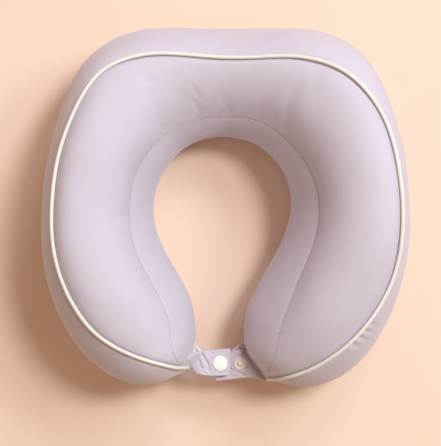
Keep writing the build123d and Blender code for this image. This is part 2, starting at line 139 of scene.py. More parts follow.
class Sec:
    """Dense closed section at station u, with arc length, normals and the seams' places."""

    def __init__(self, u, passes=16):
        self.u = u
        ox, oy, ix, iy, zo, zi, zr, zb, tr, tp, ts = station(u)
        w = math.hypot(ix - ox, iy - oy)
        self.o, self.e, self.w = np.array((ox, oy)), np.array(((ix - ox) / w, (iy - oy) / w)), w
        self.zb, self.zo = zb, zo
        bo, bi = min(B_OUT, .45 * w), min(B_IN, .45 * w)
        xr = tr * w
        q = np.linspace(0, math.pi / 2, 60, endpoint=False)
        C, S = np.cos(q), np.sin(q)
        p = np.vstack([
            np.c_[xr * (1 - C ** (2 / N_OUT)), zo + (zr - zo) * S ** (2 / N_OUT)],
            np.c_[xr + (w - xr) * S ** (2 / N_IN), zi + (zr - zi) * C ** (2 / N_IN)],
            np.c_[w - bi * (1 - C ** (2 / N_LOW)), zi - (zi - zb) * S ** (2 / N_LOW)],
            np.c_[np.linspace(w - bi, bo, 60, endpoint=False), np.full(60, zb)],
            np.c_[bo * (1 - S ** (2 / N_LOW)), zo - (zo - zb) * C ** (2 / N_LOW)]])
        n = 400
        k = np.vstack([p, p[:1]])
        s = np.r_[0, np.cumsum(np.hypot(*np.diff(k, axis=0).T))]
        t = np.linspace(0, s[-1], n, endpoint=False)
        p = np.c_[np.interp(t, s, k[:, 0]), np.interp(t, s, k[:, 1])]
        ps = max(3, int(passes * min(1.0, w / 60.0)))
        for _ in range(ps):
            p = (np.roll(p, 1, 0) + 2 * p + np.roll(p, -1, 0)) / 4
        self.p = p
        k = np.vstack([p, p[:1]])
        self.s = np.r_[0, np.cumsum(np.hypot(*np.diff(k, axis=0).T))]
        self.len = self.s[-1]
        tan = np.roll(p, -1, 0) - np.roll(p, 1, 0)
        tan /= np.hypot(*tan.T)[:, None]
        self.n = np.c_[-tan[:, 1], tan[:, 0]]
        jr, ji = int(np.argmax(p[:, 1])), int(np.argmax(p[:, 0]))
        self.s_pipe = self.cross(0, jr + 80, p[:, 0] - tp * w)
        self.s_neck = self.cross(max(jr - 20, 1), ji, p[:, 0] - ts * w)
        self.s_bi = self.cross(ji, n - 1, (zb + min(SEAM_H, .3 * (zi - zb))) - p[:, 1])
        self.s_bo = self.cross(n - 1, ji, (zb + min(SEAM_H, .3 * (zo - zb))) - p[:, 1], -1)
        # heights of the zip's two edges on the outer side
        def h(z):
            return self.cross(n - 1, ji, z - p[:, 1], -1, start_above=True)
        if zb < 1.0:
            self.s_z = [h(ZIP_Z - ZIP_V * math.cos(LEAN)), h(ZIP_Z + ZIP_V * math.cos(LEAN))]
        else:
            self.s_z = None

    def cross(self, j0, j1, f, step=1, start_above=False):
        n = len(self.p)
        j = j0
        while j != j1 and f[j % n] < 0:
            j += step
        if j == j0:
            return self.s[j]
        a, b = f[(j - step) % n], f[j % n]
        t = min(max(-a / (b - a), 0), 1)
        return self.s[j - step] + (self.s[j] - self.s[j - step]) * t if step > 0 else \
            self.s[j + 1] + (self.s[j] - self.s[j + 1]) * t

    def at(self, s):
        """3-D points and normals at arc lengths s."""
        s = np.mod(np.asarray(s, float), self.len)
        k = np.vstack([self.p, self.p[:1]])
        m = np.vstack([self.n, self.n[:1]])
        x, z = np.interp(s, self.s, k[:, 0]), np.interp(s, self.s, k[:, 1])
        nx, nz = np.interp(s, self.s, m[:, 0]), np.interp(s, self.s, m[:, 1])
        l = np.hypot(nx, nz)
        nx, nz = nx / l, nz / l
        P = np.c_[self.o[0] + self.e[0] * x, self.o[1] + self.e[1] * x, z]
        N = np.c_[self.e[0] * nx, self.e[1] * nx, nz]
        ok = (P[:, 1] > 100) & (z < 45) & (x < .4 * self.w)
        v = (z - ZIP_Z) / math.cos(LEAN)
        wt = sm((94 - abs(P[:, 0])) / 20) * sm((21 - abs(v)) / 9) * ok
        P[:, 1] += wt * (ZIP_Y + ZIP_SLOPE * (z - ZIP_Z) - P[:, 1])
        return P, N


def ease(n, a, b):
    """n + 1 fractions from 0 to 1, closer together at the ends: a at the start, b at the end (0 even, 1 tight)."""
    t = np.linspace(0, 1, n + 1)
    g = t + a * (-(np.sin(2 * np.pi * t) / (2 * np.pi)) * (1 - t)) + b * (-(np.sin(2 * np.pi * t) / (2 * np.pi)) * t)
    g = np.maximum.accumulate(g)
    return (g - g[0]) / (g[-1] - g[0])


# ------------------------------------------------------------------ the cover as one grid: sections by rows
PER = 13                                      # sections in each bay
us = [i / PER for i in range((NS - 1) * PER + 1)]


def u_at_x(x, lo, hi):
    """Station where the zip line's middle stands at that x."""
    def fx(u):
        s = Sec(u)
        return s.at([(s.s_z[0] + s.s_z[1]) / 2])[0][0][0] - x
    for _ in range(40):
        mid = (lo + hi) / 2
        if (fx(lo) < 0) == (fx(mid) < 0):
            lo = mid
        else:
            hi = mid
    return (lo + hi) / 2


uz = [u_at_x(-ZIP_HALF, 14.2, 16.0), u_at_x(ZIP_HALF, 18.0, 19.9)]
for z in uz:
    k = int(np.argmin([abs(u - z) for u in us]))
    us[k] = z
SECS = [Sec(u) for u in us]
NU = len(us)
iz0, iz1 = us.index(uz[0]), us.index(uz[1])

N_SIDE = (8, 5, 25)                           # below the zip, across it, above it
N_TOP, N_NECK, N_BOT = 34, 24, 26
fz = np.array([[(q - s.s_bo) / (s.len + s.s_pipe - s.s_bo) for q in s.s_z] if s.s_z else [np.nan, np.nan] for s in SECS])
for c in range(2):
    good = ~np.isnan(fz[:, c]) & (np.array(us) > 4) & (np.array(us) < 31)
    fz[:, c] = np.interp(us, np.array(us)[good], fz[good, c])

rows, panels = [], {}
for i, s in enumerate(SECS):
    L = s.len + s.s_pipe - s.s_bo
    a, b = fz[i]
    side = s.s_bo + L * np.r_[a * ease(N_SIDE[0], .9, .3)[:-1], a + (b - a) * np.linspace(0, 1, N_SIDE[1] + 1)[:-1],
                              b + (1 - b) * ease(N_SIDE[2], .3, .93)]
    top = s.s_pipe + (s.s_neck - s.s_pipe) * ease(N_TOP, .93, .9)
    neck = s.s_neck + (s.s_bi - s.s_neck) * ease(N_NECK, .9, .93)
    bot = s.s_bi + (s.s_bo - s.s_bi) * ease(N_BOT, .93, .93)
    rows.append(np.r_[side[:-1] - s.len, top[:-1], neck[:-1], bot[:-1]])
rows = np.array(rows)
n_side = sum(N_SIDE)
R0 = dict(side=0, top=n_side, neck=n_side + N_TOP, bot=n_side + N_TOP + N_NECK)
NR = n_side + N_TOP + N_NECK + N_BOT
P = np.zeros((NU, NR, 3))
for i, s in enumerate(SECS):
    P[i], _ = s.at(rows[i])


def grid_normals(P):
    du = np.gradient(P, axis=0)
    dr = np.roll(P, -1, 1) - np.roll(P, 1, 1)
    n = np.cross(dr, du)
    l = np.linalg.norm(n, axis=2, keepdims=True)
    return n / np.maximum(l, 1e-9)


Nn = grid_normals(P)
c = P.mean((0, 1))
if (Nn[NU // 2, R0["top"] + 5] @ np.array([0, 0, 1.0])) < 0:
    Nn = -Nn

# distance along each row from the middle of the back, and along the section
seg = np.linalg.norm(np.diff(P, axis=0), axis=2)
run = np.vstack([np.zeros(NR), np.cumsum(seg, axis=0)])
run -= run[us.index(min(us, key=lambda u: abs(u - 17)))]
across = rows.copy()


# ------------------------------------------------------------------ the stuffed cover, by cloth simulation
def inflate(P, Nn):
    """Closed bag on a coarser grid, cloth with inner pressure, seams held; gives the fine grid's displacement."""
    ku = sorted(set(list(range(0, NU, 4)) + [NU - 1]))
    seams = [R0[k] for k in ("side", "top", "neck", "bot")]
    kr = sorted(set([r for r in range(0, NR, 2)] + seams))
    Q = P[np.ix_(ku, kr)] * MM
    nu, nr = len(ku), len(kr)
    verts = [tuple(v) for v in Q.reshape(-1, 3)]
    faces = [(i * nr + j, i * nr + (j + 1) % nr, (i + 1) * nr + (j + 1) % nr, (i + 1) * nr + j)
             for i in range(nu - 1) for j in range(nr)]
    faces += [tuple(range(nr))[::-1], tuple((nu - 1) * nr + j for j in range(nr))]
    me = bpy.data.meshes.new("bag")
    me.from_pydata(verts, [], faces)
    me.update()
    bm = bmesh.new()
    bm.from_mesh(me)
    bmesh.ops.recalc_face_normals(bm, faces=bm.faces)
    bm.to_mesh(me)
    bm.free()
    ob = bpy.data.objects.new("bag", me)
    scene.collection.objects.link(ob)
    g = ob.vertex_groups.new(name="held")
    for j, r in enumerate(kr):
        w = 1.0 if r in seams else 0.0
        for i, u in enumerate(ku):
            end = 1.0 - float(sm(min(us[u], NS - 1 - us[u]) / 1.6))
            z = P[u, r, 2]
            low = 1.0 if z < 2.0 else 0.0
            zipw = 1.0 if (abs(P[u, r, 0]) < 80 and P[u, r, 1] > 120 and 6 < z < 30) else 0.0
            x = max(w, end, low, zipw)
            if x > 0:
                g.add([i * nr + j], x, "REPLACE")
    md = ob.modifiers.new("cloth", "CLOTH")
    cs = md.settings
    cs.quality = 6
    cs.mass = 0.25
    cs.tension_stiffness = cs.compression_stiffness = 4
    cs.shear_stiffness = 2
    cs.bending_stiffness = 0.5
    cs.use_pressure = True
    cs.uniform_pressure_force = 20.0
    cs.effector_weights.gravity = 0
    cs.vertex_group_mass = "held"
    cs.pin_stiffness = 1.0
    md.collision_settings.use_collision = False
    scene.frame_start, scene.frame_end = 1, 22
    for f in range(1, 21):
        scene.frame_set(f)
    dg = bpy.context.evaluated_depsgraph_get()
    ev = ob.evaluated_get(dg)
    co = np.zeros(len(verts) * 3)
    ev.data.vertices.foreach_get("co", co)
    D = (co.reshape(nu, nr, 3) - Q) / MM
    scene.frame_set(1)
    bpy.data.objects.remove(ob)
    bpy.data.meshes.remove(me)
    l = np.linalg.norm(D, axis=2, keepdims=True)
    print("cloth: largest move %.2f mm, mean %.2f mm" % (l.max(), l.mean()))
    D = D * np.minimum(1.0, 4.0 / np.maximum(l, 1e-6))
    out = np.zeros_like(P)
    tmp = np.zeros((nu, NR, 3))
    for k in range(3):
        for i in range(nu):
            tmp[i, :, k] = np.interp(np.arange(NR), kr + [NR], np.r_[D[i, :, k], D[i, 0, k]])
        for j in range(NR):
            out[:, j, k] = np.interp(np.arange(NU), ku, tmp[:, j, k])
    for _ in range(3):
        out[1:-1] = (out[:-2] + 2 * out[1:-1] + out[2:]) / 4
    keep_rows = np.ones(NR)
    for _ in range(1):
        sm_ = (np.roll(out, 1, 1) + 2 * out + np.roll(out, -1, 1)) / 4
        for r in seams:
            sm_[:, r] = out[:, r]
        out = sm_
    return out


P = P + inflate(P, Nn)
P[:, :, 2] = np.maximum(P[:, :, 2], 0.0)
Nn2 = grid_normals(P)
if (Nn2[NU // 2, R0["top"] + 5] @ np.array([0, 0, 1.0])) < 0:
    Nn2 = -Nn2
Nn = Nn2


# ------------------------------------------------------------------ seam ditches, puckers and soft unevenness
def fbm(x, y, z, scale, octaves=3):
    v, a, t = 0.0, 1.0, 0.0
    for _ in range(octaves):
        v += a * noise.noise(Vector((x / scale, y / scale, z / scale)))
        t += a
        a *= .5
        scale *= .5
    return v / t


D = np.zeros((NU, NR))
U = np.array(us)[:, None]
tipfade = sm(np.minimum(U, NS - 1 - U) / 1.3)


def near(r, panel_rows, side):
    """Distance along the section from seam row r, for rows on one side of it."""
    out = np.full((NU, NR), 1e3)
    for j in panel_rows:
        jj = j % NR
        d = np.abs(across[:, jj] - across[:, r])
        L = np.array([s.len for s in SECS])
        d = np.minimum(d, np.abs(L - d))
        out[:, jj] = d
    return out


side_rows = list(range(R0["side"], R0["top"] + 1))
top_rows = list(range(R0["top"], R0["neck"] + 1))
neck_rows = list(range(R0["neck"], R0["bot"] + 1))
bot_rows = list(range(R0["bot"], NR + 1))
d_pipe_side, d_pipe_top = near(R0["top"], side_rows, 0), near(R0["top"], top_rows, 0)
d_neck_top, d_neck_neck = near(R0["neck"], top_rows, 0), near(R0["neck"], neck_rows, 0)
d_bi_neck, d_bi_bot = near(R0["bot"], neck_rows, 0), near(R0["bot"], bot_rows, 0)
d_bo_side, d_bo_bot = near(0, side_rows, 0), near(0, [r % NR for r in bot_rows], 0)
tipw = .35 + .65 * tipfade
for d, depth, width in ((d_pipe_side, 1.7, 2.6), (d_pipe_top, 1.3, 2.5), (d_bi_neck, 1.4, 2.4), (d_bi_bot, 1.0, 2.2),
                        (d_bo_side, 1.5, 2.5), (d_bo_bot, 1.0, 2.2)):
    D -= depth * tipw * np.exp(-(d / width) ** 2) * (d < 900)
seam_side = .08 + .92 * sm((P[:, [R0["neck"]], 0] + 45.0) / 50.0)
for d, depth, width in ((d_neck_top, .40, 1.0), (d_neck_neck, .40, 1.0)):
    D -= depth * seam_side * tipw * np.exp(-(d / width) ** 2) * (d < 900)
for r in (R0["top"], R0["bot"], 0, R0["neck"]):       # each seam row was counted from both sides
    D[:, r] *= .5

along = run[:, [R0["top"]]] * np.ones((1, NR))
pk = np.zeros((NU, NR))
for i in range(NU):
    x = along[i, 0]
    pk[i, :] = noise.noise(Vector((x / 7.0, 3.1, 0.0))) + .6 * noise.noise(Vector((x / 3.6, 9.7, 0.0)))
D += .34 * pk * np.exp(-d_pipe_side / 7.0) * (1 - np.exp(-d_pipe_side / 1.6)) * (d_pipe_side < 900) * tipfade
D += .22 * np.roll(pk, 5, 0) * np.exp(-d_pipe_top / 6.0) * (1 - np.exp(-d_pipe_top / 1.6)) * (d_pipe_top < 900) * tipfade
D += .12 * np.roll(pk, 9, 0) * np.exp(-d_neck_top / 4.0) * (d_neck_top < 900) * tipfade
D += .14 * np.roll(pk, 14, 0) * np.exp(-d_neck_neck / 5.0) * (d_neck_neck < 900) * tipfade
D += .45 * np.roll(pk, 21, 0) * np.exp(-d_bo_side / 8.0) * (1 - np.exp(-d_bo_side / 1.6)) * (d_bo_side < 900) * tipfade
D += .40 * np.roll(pk, 27, 0) * np.exp(-d_bi_neck / 8.0) * (1 - np.exp(-d_bi_neck / 1.6)) * (d_bi_neck < 900) * tipfade
# a group of short creases on the right arm's outer panel, just below the piping
pipe_pt = P[:, R0["top"]]
for (x, y), amp, ln in (((115.4, -95.2), 3.6, 8.0), ((111.6, -100.6), 4.2, 10.5), ((107.4, -105.8), 3.6, 9.5), ((102.4, -111.3), 3.0, 8.0)):
    k = int(np.argmin(np.hypot(pipe_pt[:, 0] - x, pipe_pt[:, 1] - y)))
    dx = along - along[k, 0]
    env = np.exp(-d_pipe_side / ln) * (1 - np.exp(-d_pipe_side / 1.5)) * (d_pipe_side < 900)
    D += env * amp * (-np.exp(-((dx - .12 * d_pipe_side.clip(0, 60)) / 1.7) ** 2) + .4 * np.exp(-((dx - 3.4) / 2.2) ** 2))
slow = np.zeros((NU, NR))
for i in range(0, NU):
    for j in range(0, NR):
        p = P[i, j]
        slow[i, j] = noise.noise(Vector((p[0] / 48.0, p[1] / 48.0, p[2] / 48.0 + 7.7))) * .55 + \
            noise.noise(Vector((p[0] / 19.0, p[1] / 19.0, p[2] / 19.0 + 2.2))) * .16
flat = sm((P[:, :, 2] - 1.0) / 8.0)
zipn = sm((np.maximum(np.abs(P[:, :, 0]) - 74, np.abs(P[:, :, 2] - 18) - 9) + (P[:, :, 1] < 110) * 1e3) / 8.0)
D += slow * tipfade * flat * zipn
inz = (np.abs(P[:, :, 0]) < 78) & (P[:, :, 1] > 125) & (P[:, :, 2] < 27) & (P[:, :, 2] > 9)
D = np.where(inz, D * zipn, D)
# the arms carry their crown a little nearer the neck than the moulded block does
arm = sm((np.abs(P[:, :, 0]) - 28.0) / 45.0) * sm((P[:, :, 1] + 118.0) / 45.0)
frac = np.zeros((NU, NR))
for jj, r in enumerate(top_rows):
    frac[:, r] = jj / (len(top_rows) - 1.0)
on_top = np.zeros(NR, bool)
on_top[top_rows] = True
crown = 3.3 * np.exp(-((frac - .60) / .20) ** 2) - .9 * np.exp(-((frac - .17) / .10) ** 2)
D += np.where(on_top[None, :], crown * arm, 0.0)
G = P + Nn * D[:, :, None]
# the underside that bears on the floor stays flat
bot_idx = np.arange(R0["bot"] + 1, NR)
G[:, :, 2] = np.maximum(G[:, :, 2], 0.0)


# ------------------------------------------------------------------ mesh helpers
def new_mesh(name, verts, faces, smooth=True, scale=MM):
    me = bpy.data.meshes.new(name)
    me.from_pydata([tuple(float(x) * scale for x in v) for v in verts], [], faces)
    me.validate()
    me.update()
    if smooth:
        me.polygons.foreach_set("use_smooth", [True] * len(me.polygons))
    ob = bpy.data.objects.new(name, me)
    scene.collection.objects.link(ob)
    return ob


def set_uv(ob, uv):
    """uv: one (x, y) in mm for each vertex."""
    layer = ob.data.uv_layers.new(name="cloth")
    idx = np.zeros(len(ob.data.loops), int)
    ob.data.loops.foreach_get("vertex_index", idx)
    layer.data.foreach_set("uv", (np.asarray(uv, float)[idx]).astype(np.float32).ravel())


def out_normals(ob, ref=None):
    bm = bmesh.new()
    bm.from_mesh(ob.data)
    bmesh.ops.recalc_face_normals(bm, faces=bm.faces)
    bm.to_mesh(ob.data)
    bm.free()


def panel(name, rws, thick=1.0, hole=False):
    """One cover panel as a sheet with real thickness, its edges turned down into the seams."""
    n = len(rws)
    V, uv, F = [], [], []
    for layer in range(2):
        for i in range(NU):
            for j, r in enumerate(rws):
                rr = r % NR
                V.append(G[i, rr] - Nn[i, rr] * (thick * layer))
                uv.append((run[i, rr], across[i, rr] + (SECS[i].len if r >= NR else 0)))
    base = NU * n

    def gone(i, j):
        return hole and iz0 <= i < iz1 and N_SIDE[0] <= j < N_SIDE[0] + N_SIDE[1]
    for i in range(NU - 1):
        for j in range(n - 1):
            if gone(i, j):
                continue
            a, b, c, d = i * n + j, i * n + j + 1, (i + 1) * n + j + 1, (i + 1) * n + j
            F.append((a, b, c, d))
            F.append((base + a, base + d, base + c, base + b))
            for (di, dj), (p, q) in (((-1, 0), (a, b)), ((1, 0), (c, d)), ((0, -1), (d, a)), ((0, 1), (b, c))):
                ii, jj = i + di, j + dj
                if ii < 0 or ii >= NU - 1 or jj < 0 or jj >= n - 1 or gone(ii, jj):
                    F.append((q, p, base + p, base + q))
    ob = new_mesh(name, V, F)
    set_uv(ob, uv)
    out_normals(ob)
    return ob


top = panel("top_panel_cover", top_rows)
neck = panel("neck_panel_cover", neck_rows)
side = panel("side_panel_cover", side_rows, hole=True)
bottom = panel("bottom_panel_cover", bot_rows)


def frames(path, up):
    """Unit tangents, normals (towards up) and binormals along a path."""
    path, up = np.asarray(path, float), np.asarray(up, float)
    t = np.gradient(path, axis=0)
    t /= np.linalg.norm(t, axis=1)[:, None]
    n = up - (up * t).sum(1)[:, None] * t
    n /= np.linalg.norm(n, axis=1)[:, None]
    return t, n, np.cross(t, n)


def resample(path, up, step):
    s = np.r_[0, np.cumsum(np.linalg.norm(np.diff(path, axis=0), axis=1))]
    m = max(3, int(round(s[-1] / step)) + 1)
    q = np.linspace(0, s[-1], m)
    return (np.c_[[np.interp(q, s, path[:, k]) for k in range(3)]].T, np.c_[[np.interp(q, s, up[:, k]) for k in range(3)]].T, q)


def tube_piece(name, path, up, radius, n=18, ends=True, squash=1.0):
    """Round bead along a path with rounded ends; radius may vary along it."""
    t, nn, b = frames(path, up)
    r = np.broadcast_to(np.asarray(radius, float), (len(path),)).copy()
    V, F, uv = [], [], []
    s = np.r_[0, np.cumsum(np.linalg.norm(np.diff(path, axis=0), axis=1))]
    rings = []
    if ends:
        for a in (.15, .5, .8):
            rings.append((path[0] - t[0] * r[0] * math.cos(a * math.pi / 2), t[0], nn[0], b[0], r[0] * math.sin(a * math.pi / 2), s[0]))
    for i in range(len(path)):
        rings.append((path[i], t[i], nn[i], b[i], r[i], s[i]))
    if ends:
        for a in (.8, .5, .15):
            rings.append((path[-1] + t[-1] * r[-1] * math.cos(a * math.pi / 2), t[-1], nn[-1], b[-1], r[-1] * math.sin(a * math.pi / 2), s[-1]))
    for c, tt, a, bb, rr, ss in rings:
        for j in range(n):
            q = 2 * math.pi * j / n
            V.append(c + a * (rr * squash * math.cos(q)) + bb * (rr * math.sin(q)))
            uv.append((ss, rr * q))
    for i in range(len(rings) - 1):
        for j in range(n):
            k = (j + 1) % n
            F.append((i * n + j, i * n + k, (i + 1) * n + k, (i + 1) * n + j))
    F.append(tuple(range(n))[::-1])
    F.append(tuple((len(rings) - 1) * n + j for j in range(n)))
    ob = new_mesh(name, V, F)
    set_uv(ob, uv)
    out_normals(ob)
    return ob


def join(name, obs):
    bpy.ops.object.select_all(action="DESELECT")
    for o in obs:
        o.select_set(True)
    bpy.context.view_layer.objects.active = obs[0]
    bpy.ops.object.join()
    obs[0].name = name
    obs[0].data.name = name
    return obs[0]


def seam_path(r, lift):
    """The seam row as a smooth path, lifted along the cover's normal."""
    p = P[:, r % NR] + Nn[:, r % NR] * lift
    n = Nn[:, r % NR].copy()
    for _ in range(4):
        p[1:-1] = (p[:-2] + 2 * p[1:-1] + p[2:]) / 4
        n[1:-1] = (n[:-2] + 2 * n[1:-1] + n[2:]) / 4
    return p, n


def beads(name, r, lift, radius):
    p, n = seam_path(r, lift)
    p, n, q = resample(p, n, 1.5)
    rad = np.array([radius * (1 + .03 * noise.noise(Vector((x / 6.0, r * .37, 1.0)))) for x in q])
    return tube_piece(name, p, n, rad)


pipe_up = beads("upper_piping_bead", R0["top"], .80, 1.5)
pl1 = beads("lower_piping_outer", 0, .80, 1.5)
pl2 = beads("lower_piping_inner", R0["bot"], .80, 1.5)
tail = np.array([(-29.0, -111.5, 22.5), (-28.2, -113.2, 27.0), (-26.4, -115.2, 31.2), (-23.6, -118.0, 34.6), (-20.4, -120.8, 36.6), (-17.6, -123.0, 37.4)])
tail[:, 1] += Y_SHIFT
tq = np.linspace(0, len(tail) - 1, 26)
tail = np.c_[[np.interp(tq, range(len(tail)), tail[:, k]) for k in range(3)]].T
for _ in range(5):
    tail[1:-1] = (tail[:-2] + 2 * tail[1:-1] + tail[2:]) / 4
pl3 = tube_piece("lower_piping_tail", tail, np.tile((.4, .3, .86), (26, 1)), 1.5)
pipe_lo = join("lower_piping_bead", [pl1, pl2, pl3])


def tip_cover(name, i, inner_i, bulge=1.1, rings=9, thick=.9):
    """The gathered end of the cover that closes a tip, a shallow dome with real thickness."""
    ring = G[i].copy()
    c = ring.mean(0)
    out = c - G[inner_i].mean(0)
    out /= np.linalg.norm(out)
    V, F, uv = [], [], []
    for layer in range(2):
        for k in range(rings):
            f = k / (rings - 1.0)
            for j in range(NR):
                p = c + (ring[j] - c) * (1.02 - f) / 1.02
                p = p + out * (bulge * math.sqrt(max(0.0, 1 - (1 - f) ** 2)) + .12 * math.sin(j * .45) * (1 - f) * f * 4 - thick * layer - .25)
                V.append(p)
                uv.append((p[0] + layer * 60, p[2]))
    base = rings * NR
    for k in range(rings - 1):
        for j in range(NR):
            jj = (j + 1) % NR
            a, b, cc, d = k * NR + j, k * NR + jj, (k + 1) * NR + jj, (k + 1) * NR + j
            F.append((a, b, cc, d))
            F.append((base + a, base + d, base + cc, base + b))
    for j in range(NR):
        jj = (j + 1) % NR
        F.append((j, jj, base + jj, base + j))
    F.append(tuple((rings - 1) * NR + j for j in range(NR)))
    F.append(tuple(base + (rings - 1) * NR + j for j in range(NR))[::-1])
    ob = new_mesh(name, V, F)
    set_uv(ob, uv)
    out_normals(ob)
    return ob


tip_l, tip_r = tip_cover("tip_cover_left", 0, 4), tip_cover("tip_cover_right", NU - 1, NU - 5)


def stitches(name, path, up, pitch, length, radius, lift=0.0, wob=.12, seed=1, fade=None):
    """A row of separate thread stitches that dive into the cloth at both ends."""
    rnd = random.Random(seed)
    p, n, q = resample(np.asarray(path), np.asarray(up), .25)
    t, nn, b = frames(p, n)
    V, F, uv = [], [], []
    at = pitch * .5
    m, k = 7, 8
    while at < q[-1] - length:
        L = length * (1 + wob * (rnd.random() - .5))
        rings = []
        for i in range(m):
            f = i / (m - 1)
            x = at + L * (f - .5)
            j = min(int(x / .25), len(p) - 1)
            g = math.sin(math.pi * min(max(f, .0), 1.0))
            h = lift + radius * (1.35 * g ** .55 - .75)
            rr = radius * (.55 + .45 * g ** .5)
            rings.append((p[j] + nn[j] * h, nn[j], b[j], rr))
        o = len(V)
        for c, a, bb, rr in rings:
            for j in range(k):
                w = 2 * math.pi * j / k
                V.append(c + a * (rr * math.cos(w)) + bb * (rr * math.sin(w)))
                uv.append((at, rr * w))
        for i in range(m - 1):
            for j in range(k):
                jj = (j + 1) % k
                F.append((o + i * k + j, o + i * k + jj, o + (i + 1) * k + jj, o + (i + 1) * k + j))
        F.append(tuple(o + j for j in range(k))[::-1])
        F.append(tuple(o + (m - 1) * k + j for j in range(k)))
        at += pitch
    ob = new_mesh(name, V, F)
    set_uv(ob, uv)
    out_normals(ob)
    return ob


rr = R0["neck"]
seam_pts = G[:, rr] + Nn[:, rr] * .12
seam_nrm = Nn[:, rr].copy()
neck_thread = stitches("neck_seam_stitches", seam_pts[6:-6], seam_nrm[6:-6], 2.9, 2.2, .30, .12, seed=4)

# ------------------------------------------------------------------ zip surround
ZN = np.array((0, math.cos(LEAN), -math.sin(LEAN)))
ZV = np.array((0, math.sin(LEAN), math.cos(LEAN)))
Z0 = np.array((0, ZIP_Y, ZIP_Z))


def zpath(pts):
    return np.array([Z0 + np.array((x, 0, 0)) + ZV * v + ZN * n for x, v, n in pts])


tops = []
for k, v in enumerate((ZIP_V + 1.9, -ZIP_V - 1.9)):
    pp = zpath([(x, v, .06) for x in np.linspace(-ZIP_HALF - 1, ZIP_HALF + 1, 60)])
    tops.append(stitches("zs%d" % k, pp, np.tile(ZN, (60, 1)), 3.0, 2.3, .24, .03, seed=20 + k))
for k, x in enumerate((-ZIP_HALF - 1.9, ZIP_HALF + 1.9)):
    pp = zpath([(x, v, .06) for v in np.linspace(-ZIP_V - 2.6, ZIP_V + 2.6, 20)])
    tops.append(stitches("ze%d" % k, pp, np.tile(ZN, (20, 1)), 2.6, 2.0, .24, .03, seed=30 + k))
zip_stitch = join("zip_topstitch", tops)

# ------------------------------------------------------------------ snap straps
HY = Y_SHIFT


def interp_line(pts, t):
    pts = np.asarray(pts, float)
    s = np.r_[0, np.cumsum(np.hypot(*np.diff(pts[:, :2], axis=0).T))]
    s /= s[-1]
    return np.c_[[np.interp(t, s, pts[:, k]) for k in range(pts.shape[1])]].T


def smooth_line(pts, t, passes=14):
    f = interp_line(pts, np.linspace(0, 1, 160))
    for _ in range(passes):
        f[1:-1] = (f[:-2] + 2 * f[1:-1] + f[2:]) / 4
    return interp_line(f, t)


def strap(name, lo_edge, hi_edge, zc, half, power, wrinkle, na=110, nb=56, corner=2.2):
    """Closed padded strap between two edge lines; half thickness and roundness vary along it."""
    t = np.linspace(0, 1, na)
    A, B = smooth_line(lo_edge, t), smooth_line(hi_edge, t)
    length = np.r_[0, np.cumsum(np.hypot(*np.diff((A + B) / 2, axis=0)[:, :2].T))]
    V, F, uv = [], [], []
    b = (1 - np.cos(np.linspace(0, math.pi, nb))) / 2
    b = .35 * b + .65 * np.linspace(0, 1, nb)
    width = np.hypot(*(B - A)[:, :2].T)
    for layer in (1, -1):
        for i in range(na):
            # rounded free corners: the width shrinks over the last few millimetres
            rest = length[-1] - length[i]
            cut = 0.0 if rest > corner else corner - math.sqrt(max(corner ** 2 - (corner - rest) ** 2, 0))
            endh = 1.0 if rest > 1.2 else math.sqrt(max(1 - (1 - rest / 1.2) ** 2, 0.0))
            for j in range(nb):
                f = (cut + b[j] * (width[i] - 2 * cut)) / width[i]
                x, y = A[i, :2] + (B[i, :2] - A[i, :2]) * f
                m = abs(2 * b[j] - 1)
                h = half(t[i]) * max(0.0, 1 - m ** power(t[i])) ** (1 / power(t[i])) * endh
                e = min(b[j], 1 - b[j]) * width[i]
                roll = .12 * math.exp(-((e - 1.1) / .7) ** 2) - .14 * math.exp(-((e - 2.3) / .6) ** 2)
                z = zc(t[i], b[j]) + layer * (h + roll * sm(t[i] * 3) * (endh > .9)) + wrinkle(x, y, layer) * (h > .2)
                V.append((x, y, z))
                uv.append((length[i], width[i] * f + layer * 40))
    base = na * nb
    for i in range(na - 1):
        for j in range(nb - 1):
            a, bb, c, d = i * nb + j, i * nb + j + 1, (i + 1) * nb + j + 1, (i + 1) * nb + j
            F.append((a, bb, c, d))
            F.append((base + a, base + d, base + c, base + bb))
    for i in range(na - 1):
        for j in (0, nb - 1):
            a, d = i * nb + j, (i + 1) * nb + j
            F.append((a, d, base + d, base + a))
    for j in range(nb - 1):
        for i in (0, na - 1):
            a, c = i * nb + j, i * nb + j + 1
            F.append((a, c, base + c, base + a))
    ob = new_mesh(name, V, F)
    set_uv(ob, uv)
    bm = bmesh.new()
    bm.from_mesh(ob.data)
    bmesh.ops.remove_doubles(bm, verts=bm.verts, dist=2e-6)
    bmesh.ops.recalc_face_normals(bm, faces=bm.faces)
    bm.to_mesh(ob.data)
    bm.free()
    return ob


def seg_dist(x, y, a, b):
    ax, ay, bx, by = *a, *b
    t = max(0.0, min(1.0, ((x - ax) * (bx - ax) + (y - ay) * (by - ay)) / ((bx - ax) ** 2 + (by - ay) ** 2)))
    return math.hypot(x - ax - t * (bx - ax), y - ay - t * (by - ay))


